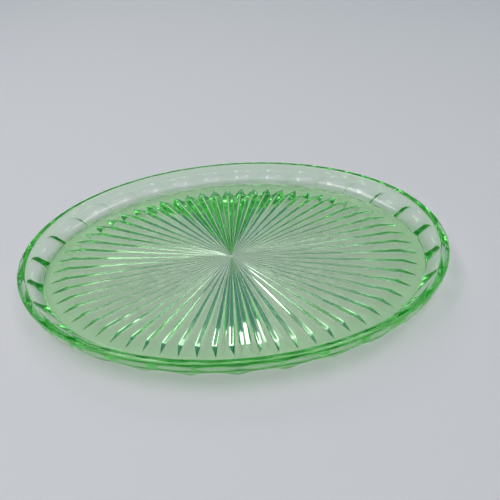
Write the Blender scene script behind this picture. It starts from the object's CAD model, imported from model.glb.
"""Oval pressed glass dish on a pale table: one mesh of green glass, fluted below and scooped outside."""

from bisect import bisect
from math import asin, cos, hypot, pi, sin, sqrt

import bmesh
import bpy
from mathutils import Matrix, Vector


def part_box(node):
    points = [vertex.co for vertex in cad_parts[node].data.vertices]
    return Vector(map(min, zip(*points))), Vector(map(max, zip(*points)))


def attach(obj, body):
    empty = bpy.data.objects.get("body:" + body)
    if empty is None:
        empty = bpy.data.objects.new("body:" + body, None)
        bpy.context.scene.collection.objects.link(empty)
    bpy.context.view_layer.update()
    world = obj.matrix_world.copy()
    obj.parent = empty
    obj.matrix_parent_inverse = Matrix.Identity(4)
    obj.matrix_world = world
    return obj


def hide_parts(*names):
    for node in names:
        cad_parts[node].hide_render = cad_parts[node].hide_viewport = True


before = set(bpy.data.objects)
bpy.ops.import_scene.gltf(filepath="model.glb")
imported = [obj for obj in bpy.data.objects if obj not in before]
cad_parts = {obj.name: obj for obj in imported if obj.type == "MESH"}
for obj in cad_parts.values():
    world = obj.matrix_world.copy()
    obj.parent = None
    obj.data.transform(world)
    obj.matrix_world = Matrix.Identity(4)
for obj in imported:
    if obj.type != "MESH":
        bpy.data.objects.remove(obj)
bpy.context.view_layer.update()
dish_low, dish_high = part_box("glass_dish")

# All lengths below are in millimetres and become metres in place().
MM = 0.001
dish_length = (dish_high[0] - dish_low[0]) / MM
dish_width = (dish_high[1] - dish_low[1]) / MM
dish_height = (dish_high[2] - dish_low[2]) / MM

# Section of the wall. Reach is measured outwards, square to the oval of the flute tips.
wall_reach = 18.2
lip_radius = 2.8
floor_thickness = 7.5
foot_reach = 5.9
foot_height = 0.9

# Sunburst under the floor
flute_count = 60
flute_depth = 4.2
flute_tip_length = 11.0
first_tip = 0.64
hub_radius = 1.5
valley_rounding = 0.25  # share of a flute's side that is rounded
crest_rounding = 0.12  # the same for its crest

# Thumb scoops round the outside
scoop_count = flute_count // 2
scoop_radius = 30.0
scoop_depth = 2.4
scoop_line_height = 10.0

# Foot: a flat band under the plain part of the floor, with a small rounded outer corner (inset, height)
foot_inner_reach = 0.8
foot_corner = ((1.2, 0.0), (0.5, 0.02), (0.15, 0.15), (0.0, 0.4))

# Mesh density: where the spokes lie in each flute, from one crest to just short of the next
half_flute = (0.0, 0.02, 0.045, 0.07, 0.1, 0.14, 0.22, 0.32, 0.42, 0.47, 0.485)
flute_spokes = [-0.5] + [-offset for offset in reversed(half_flute[1:])] + list(half_flute)
columns = flute_count * len(flute_spokes)
oval_steps = 3600
flute_shares = (0.0, 0.12, 0.3, 0.5, 0.75, 1.0)  # from the hub to where the tips start
tip_shares = (0.25, 0.5, 0.75, 1.0)
scoop_rows = 16
plain_belly_shares = (0.08, 0.25, 0.5, 0.75, 1.0)
lip_rows = 16
cove_rows = 12
floor_shares = (0.95, 0.8, 0.6, 0.4, 0.2, 0.1)
ray_rounds = 8
halving_rounds = 30
merge_distance = 1e-7  # metres
sharp_angle = 0.3  # radians between faces

# Glass
glass_ior = 1.52
ripples = ((45.0, 0.000008), (260.0, 0.0000025))  # noise scale, height in metres
haze_scale = 30.0
haze_range = (0.35, 0.7)
roughness_range = (0.02, 0.09)
tint_colour = (0.08, 0.842, 0.0)
tint_density = 35.0
shadow_clearness = 0.66

lip_height = dish_height - lip_radius
oval_a = dish_length / 2 - wall_reach
oval_b = dish_width / 2 - wall_reach
belly_run = wall_reach - foot_reach
belly_rise = lip_height - foot_height
belly_radius = (belly_run**2 + belly_rise**2) / (2 * belly_run)
belly_middle = Vector((wall_reach - belly_radius, lip_height))
foot_fall = asin(belly_rise / belly_radius)


def oval_at(turn, reach=0.0):
    """Point at a parameter angle, moved outwards square to the oval, and the outward direction there."""
    outward = Vector((oval_b * cos(turn), oval_a * sin(turn))).normalized()
    return Vector((oval_a * cos(turn), oval_b * sin(turn))) + outward * reach, outward


def turns_at(shares):
    """Parameter angles that lie these shares of the way round the oval."""
    walked = [0.0]
    for step in range(oval_steps):
        here, _ = oval_at(2 * pi * step / oval_steps)
        there, _ = oval_at(2 * pi * (step + 1) / oval_steps)
        walked.append(walked[-1] + (there - here).length)
    turns = []
    for share in shares:
        target = walked[-1] * (share % 1)
        step = bisect(walked, target) - 1
        part = (target - walked[step]) / (walked[step + 1] - walked[step])
        turns.append(2 * pi * (step + part) / oval_steps)
    return turns


def on_ray(turn, reach):
    """Where the ray from the centre through the tip oval at turn meets the oval moved out by reach."""
    ray = Vector((oval_a * cos(turn), oval_b * sin(turn))).normalized()
    across = Vector((-ray.y, ray.x))
    for _ in range(ray_rounds):
        point, outward = oval_at(turn, reach)
        along = Vector((-outward.y, outward.x))
        speed = hypot(oval_a * sin(turn), oval_b * cos(turn)) + reach
        turn -= point.dot(across) / along.dot(across) / speed
    return oval_at(turn, reach)[0]


class Column:
    """One spoke of the mesh: everything on it lies on one ray from the centre."""

    def __init__(self, flute, turn):
        self.turn = turn
        self.tip, _ = oval_at(turn)
        self.radius = self.tip.length
        self.ray = self.tip / self.radius
        self.flute = flute  # a whole number on a valley
        self.scoop = self.flute / flute_count * scoop_count

    def inside(self, radius, height):
        flat = self.ray * radius
        return Vector((flat.x, flat.y, height))

    def outside(self, reach, height):
        flat = on_ray(self.turn, reach)
        return Vector((flat.x, flat.y, height))


def off_middle(position):
    """Distance to the nearest whole number, from -0.5 to 0.5."""
    return position - round(position)


def flute_profile(position):
    """Share of the flute's depth across it: flat sides, a rounded valley and a slightly rounded crest."""
    side = abs(off_middle(position)) * 2
    if side < valley_rounding:
        side = (side**2 + valley_rounding**2) / (2 * valley_rounding)
    if side > 1 - crest_rounding:
        side = 1 - ((1 - side) ** 2 + crest_rounding**2) / (2 * crest_rounding)
    return (1 - side) / (1 - valley_rounding / 2)


def sunburst_rows(spokes):
    """From the hub out to the pointed tips, seen from below: grooves whose crests climb to the hub."""
    rows = []
    for share in flute_shares:
        row = []
        for spoke in spokes:
            end = spoke.radius - flute_tip_length
            radius = hub_radius + (end - hub_radius) * share
            fall = flute_depth * share * (1 - flute_profile(spoke.flute))
            row.append(spoke.inside(radius, flute_depth - fall))
        rows.append(row)
    for share in tip_shares:
        row = []
        for spoke in spokes:
            depth = flute_profile(spoke.flute)
            radius = spoke.radius - flute_tip_length * (1 - depth * share)
            row.append(spoke.inside(radius, flute_depth * depth * (1 - share)))
        rows.append(row)
    return rows


def belly(fall):
    """Reach and height on the belly's arc, at an angle below the lip's widest point."""
    return belly_middle + Vector((cos(fall), -sin(fall))) * belly_radius


def halve(test, low, high):
    """Where test turns from true to false between low and high."""
    for _ in range(halving_rounds):
        middle = (low + high) / 2
        if test(middle):
            low = middle
        else:
            high = middle
    return low


def wall_rows(spokes):
    """Scooped belly: on each spoke, the belly's arc, cut by a round gouge that lies along its lower part."""
    line_fall = asin((lip_height - scoop_line_height) / belly_radius)
    corner = belly(foot_fall)
    line = (belly(line_fall) - corner).normalized()
    out = Vector((line.y, -line.x))
    middle_reach = (foot_reach + belly(line_fall).x) / 2
    half_pitch = pi * ((oval_a + oval_b) / 2 + middle_reach) / scoop_count

    def cut(fall, aside):
        """How deep the gouge goes into the belly here, square to its own line."""
        over = (belly(fall) - corner).dot(out)
        return over + scoop_depth - aside**2 / (scoop_radius + sqrt(scoop_radius**2 - aside**2))

    def scooped(fall, aside):
        return belly(fall) - out * max(0.0, cut(fall, aside))

    asides = [off_middle(spoke.scoop) * 2 * half_pitch for spoke in spokes]
    feet = []
    tops = []
    for aside in asides:
        feet.append(halve(lambda fall: scooped(fall, aside).x < foot_reach, foot_fall, line_fall))
        tops.append(halve(lambda fall: cut(fall, aside) > 0, line_fall, 0.0))
    rows = []
    for step in range(scoop_rows + 1):
        row = []
        for spoke, aside, low, high in zip(spokes, asides, feet, tops):
            at = scooped(low + (high - low) * step / scoop_rows, aside)
            row.append(spoke.outside(at.x, at.y))
        rows.append(row)
    for share in plain_belly_shares:
        row = []
        for spoke, top in zip(spokes, tops):
            at = belly(top * (1 - share))
            row.append(spoke.outside(at.x, at.y))
        rows.append(row)
    return rows


def ring(spokes, reach, height):
    return [spoke.outside(reach, height) for spoke in spokes]


def build_dish():
    flutes = [flute + offset for flute in range(flute_count) for offset in flute_spokes]
    turns = turns_at([(flute + first_tip) / flute_count for flute in flutes])
    spokes = [Column(flute, turn) for flute, turn in zip(flutes, turns)]
    rows = sunburst_rows(spokes)
    rows.append(ring(spokes, foot_inner_reach, 0.0))
    for inset, height in foot_corner:
        rows.append(ring(spokes, foot_reach - inset, height))
    rows += wall_rows(spokes)
    for step in range(1, lip_rows + 1):
        swing = pi * step / lip_rows
        at = lip_radius * Vector((cos(swing), sin(swing)))
        rows.append(ring(spokes, wall_reach - lip_radius + at.x, lip_height + at.y))
    inner = wall_reach - 2 * lip_radius
    cove_radius = lip_height - floor_thickness
    for step in range(1, cove_rows + 1):
        swing = pi / 2 * step / cove_rows
        at = cove_radius * Vector((1 - cos(swing), sin(swing)))
        rows.append(ring(spokes, inner - at.x, lip_height - at.y))
    floor_edge = inner - cove_radius
    for share in floor_shares:
        rows.append([spoke.inside((spoke.radius + floor_edge) * share, floor_thickness) for spoke in spokes])
    mesh = bmesh.new()
    grid = [[mesh.verts.new(point * MM) for point in row] for row in rows]
    bottom = mesh.verts.new(Vector((0, 0, flute_depth)) * MM)
    top = mesh.verts.new(Vector((0, 0, floor_thickness)) * MM)
    for c in range(columns):
        n = (c + 1) % columns
        mesh.faces.new((bottom, grid[0][n], grid[0][c]))
        for r in range(len(rows) - 1):
            mesh.faces.new((grid[r][c], grid[r][n], grid[r + 1][n], grid[r + 1][c]))
        mesh.faces.new((grid[-1][c], grid[-1][n], top))
    bmesh.ops.remove_doubles(mesh, verts=mesh.verts, dist=merge_distance)
    bmesh.ops.recalc_face_normals(mesh, faces=mesh.faces)
    for face in mesh.faces:
        face.smooth = True
    for edge in mesh.edges:
        if len(edge.link_faces) == 2 and edge.calc_face_angle() > sharp_angle:
            edge.smooth = False
    data = bpy.data.meshes.new("glass_dish_skin")
    mesh.to_mesh(data)
    mesh.free()
    dish = bpy.data.objects.new("glass_dish_skin", data)
    bpy.context.scene.collection.objects.link(dish)
    return dish


def glass():
    material = bpy.data.materials.new("uranium_glass")
    material.use_nodes = True
    nodes = material.node_tree.nodes
    links = material.node_tree.links
    nodes.clear()
    out = nodes.new("ShaderNodeOutputMaterial")
    body = nodes.new("ShaderNodeBsdfPrincipled")
    body.inputs["Base Color"].default_value = (1, 1, 1, 1)
    body.inputs["IOR"].default_value = glass_ior
    body.inputs["Transmission Weight"].default_value = 1.0
    # The faint unevenness of a pressed surface: slow waves and a fine orange peel
    place = nodes.new("ShaderNodeTexCoord")
    height = None
    for scale, size in ripples:
        waves = nodes.new("ShaderNodeTexNoise")
        waves.inputs["Scale"].default_value = scale
        waves.inputs["Detail"].default_value = 1.0
        links.new(place.outputs["Object"], waves.inputs["Vector"])
        bump = nodes.new("ShaderNodeBump")
        bump.inputs["Distance"].default_value = size
        links.new(waves.outputs[0], bump.inputs["Height"])
        if height is not None:
            links.new(height.outputs["Normal"], bump.inputs["Normal"])
        height = bump
    links.new(height.outputs["Normal"], body.inputs["Normal"])
    # Handling has left the polish a little uneven
    haze = nodes.new("ShaderNodeTexNoise")
    haze.inputs["Scale"].default_value = haze_scale
    haze.inputs["Detail"].default_value = 6.0
    links.new(place.outputs["Object"], haze.inputs["Vector"])
    polish = nodes.new("ShaderNodeMapRange")
    polish.inputs["From Min"].default_value, polish.inputs["From Max"].default_value = haze_range
    polish.inputs["To Min"].default_value, polish.inputs["To Max"].default_value = roughness_range
    links.new(haze.outputs[0], polish.inputs["Value"])
    links.new(polish.outputs["Result"], body.inputs["Roughness"])
    tint = nodes.new("ShaderNodeVolumeAbsorption")
    tint.inputs["Color"].default_value = (*tint_colour, 1)
    tint.inputs["Density"].default_value = tint_density
    # Lamps shine straight through, and the tint colours their light
    rays = nodes.new("ShaderNodeLightPath")
    clear = nodes.new("ShaderNodeBsdfTransparent")
    clear.inputs["Color"].default_value = (*[shadow_clearness] * 3, 1)
    either = nodes.new("ShaderNodeMixShader")
    links.new(rays.outputs["Is Shadow Ray"], either.inputs[0])
    links.new(body.outputs["BSDF"], either.inputs[1])
    links.new(clear.outputs["BSDF"], either.inputs[2])
    links.new(either.outputs["Shader"], out.inputs["Surface"])
    links.new(tint.outputs["Volume"], out.inputs["Volume"])
    return material


def plain_material(name, colour, roughness):
    material = bpy.data.materials.new(name)
    material.use_nodes = True
    body = material.node_tree.nodes["Principled BSDF"]
    body.inputs["Base Color"].default_value = (*colour, 1)
    body.inputs["Roughness"].default_value = roughness
    return material


dish = build_dish()
dish.data.materials.append(glass())
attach(dish, "root")
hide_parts("glass_dish")

# Table
table_half_size = 3.0
table_gap = 0.0002  # keeps the foot's flat face clear of the table

floor_data = bpy.data.meshes.new("table")
floor_mesh = bmesh.new()
bmesh.ops.create_grid(floor_mesh, x_segments=1, y_segments=1, size=table_half_size)
floor_mesh.to_mesh(floor_data)
floor_mesh.free()
table = bpy.data.objects.new("table", floor_data)
bpy.context.scene.collection.objects.link(table)
table.location = (0, 0, dish_low[2] - table_gap)
table.data.materials.append(plain_material("pale_table", (0.87, 0.760, 0.790), 0.6))

# Light: a dim surround that is pale at the horizon and overhead
world = bpy.data.worlds.new("studio")
bpy.context.scene.world = world
world.use_nodes = True
sky_nodes = world.node_tree.nodes
sky_links = world.node_tree.links
direction = sky_nodes.new("ShaderNodeTexCoord")
split = sky_nodes.new("ShaderNodeSeparateXYZ")
ramp = sky_nodes.new("ShaderNodeValToRGB")
sky_links.new(direction.outputs["Generated"], split.inputs[0])
sky_links.new(split.outputs["Z"], ramp.inputs["Fac"])
sky_stops = (
    (0.0, (0.42, 0.44, 0.50)),
    (0.16, (0.30, 0.38, 0.42)),
    (0.34, (0.10, 0.22, 0.24)),
    (0.90, (0.09, 0.21, 0.22)),
    (0.98, (0.36, 0.42, 0.44)),
)
while len(ramp.color_ramp.elements) < len(sky_stops):
    ramp.color_ramp.elements.new(0.5)
for element, (position, colour) in zip(ramp.color_ramp.elements, sky_stops):
    element.position = position
    element.color = (*colour, 1)
sky_links.new(ramp.outputs["Color"], sky_nodes["Background"].inputs["Color"])
sky_nodes["Background"].inputs["Strength"].default_value = 1.0
bpy.context.scene.view_settings.view_transform = "Standard"
bpy.context.scene.cycles.max_bounces = 64
bpy.context.scene.cycles.diffuse_bounces = 16
bpy.context.scene.cycles.glossy_bounces = 48
bpy.context.scene.cycles.transmission_bounces = 48


def softbox(name, place, aim, size, power):
    data = bpy.data.lights.new(name, "AREA")
    data.shape = "RECTANGLE"
    data.size, data.size_y = size
    data.energy = power
    lamp = bpy.data.objects.new(name, data)
    lamp.location = place
    lamp.rotation_euler = (Vector(aim) - Vector(place)).to_track_quat("-Z", "Y").to_euler()
    bpy.context.scene.collection.objects.link(lamp)
    return lamp


softbox("front_softbox", (0, -0.45, 1.5), (0, 0, 0), (2.6, 0.7), 4.2)
softbox("left_softbox", (-0.75, 0.05, 1.45), (0, 0, 0), (1.1, 0.42), 6.8)
softbox("right_softbox", (0.6, 0.05, 1.5), (0, 0, 0), (0.8, 0.35), 3.4)
# This lamp only throws the shadow toward the front right, and the glass doesn't mirror it.
back_softbox = softbox("back_softbox", (-0.5, 1.3, 1.2), (0, 0, 0), (0.6, 0.6), 3.2)
back_softbox.visible_glossy = False
back_softbox.visible_transmission = False

# Camera
yaw, pitch, roll = -0.076, 0.690, -0.096  # radians
camera_place = Vector((35.4, -279.3, 242.2)) * MM
forward = Vector((sin(yaw) * cos(pitch), cos(yaw) * cos(pitch), -sin(pitch)))
level = Vector((cos(yaw), -sin(yaw), 0))
upright = level.cross(forward)
right = cos(roll) * level + sin(roll) * upright
up = cos(roll) * upright - sin(roll) * level
lens = bpy.data.cameras.new("view")
lens.lens = 35.75
lens.sensor_width = 36
lens.clip_start = 0.01
camera = bpy.data.objects.new("view", lens)
turned = Matrix((right, up, -forward)).transposed().to_4x4()
camera.matrix_world = Matrix.Translation(camera_place) @ turned
bpy.context.scene.collection.objects.link(camera)
bpy.context.scene.camera = camera
